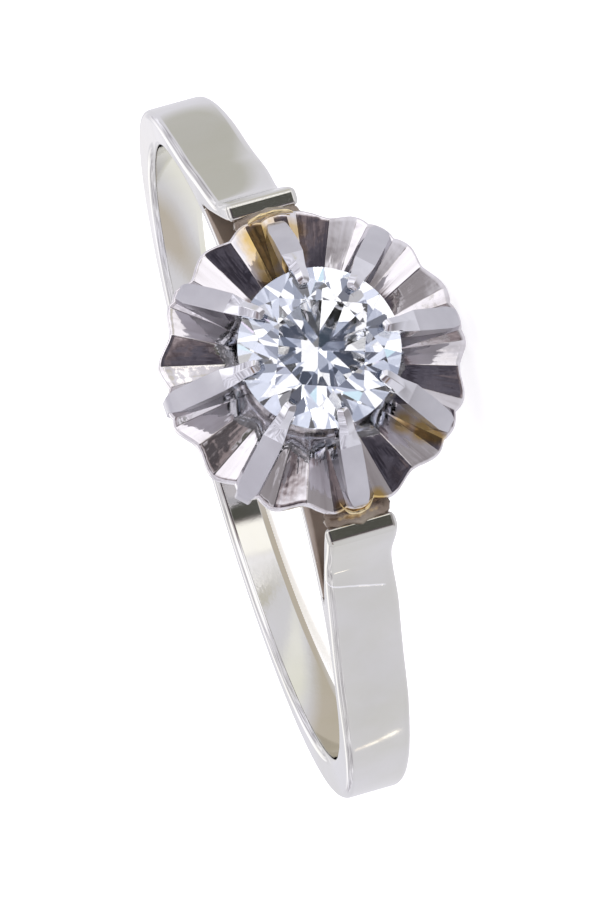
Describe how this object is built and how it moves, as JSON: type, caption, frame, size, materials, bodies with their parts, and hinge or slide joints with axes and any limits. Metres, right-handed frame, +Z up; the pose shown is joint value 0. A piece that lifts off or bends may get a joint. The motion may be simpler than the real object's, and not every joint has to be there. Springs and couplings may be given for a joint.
{
  "type": "solitaire ring",
  "caption": "Finger ring with one round brilliant held by eight claws over a fluted plate, on a flat band whose shoulders end in square lips.",
  "frame": {"origin": "centre of the finger hole", "axes": "+Z up, with the ring lying on its side; the stone faces -Y; the finger's axis leans 9.6 degrees from +Z towards +Y"},
  "size_m": [0.0192, 0.0232, 0.008],
  "materials": {
    "white_gold": "polished white gold, with paler satin tops on the claws",
    "stone": "polished facets"
  },
  "bodies": {
    "root": {"mounting": "white_gold", "stone": "stone"}
  },
  "joints": []
}
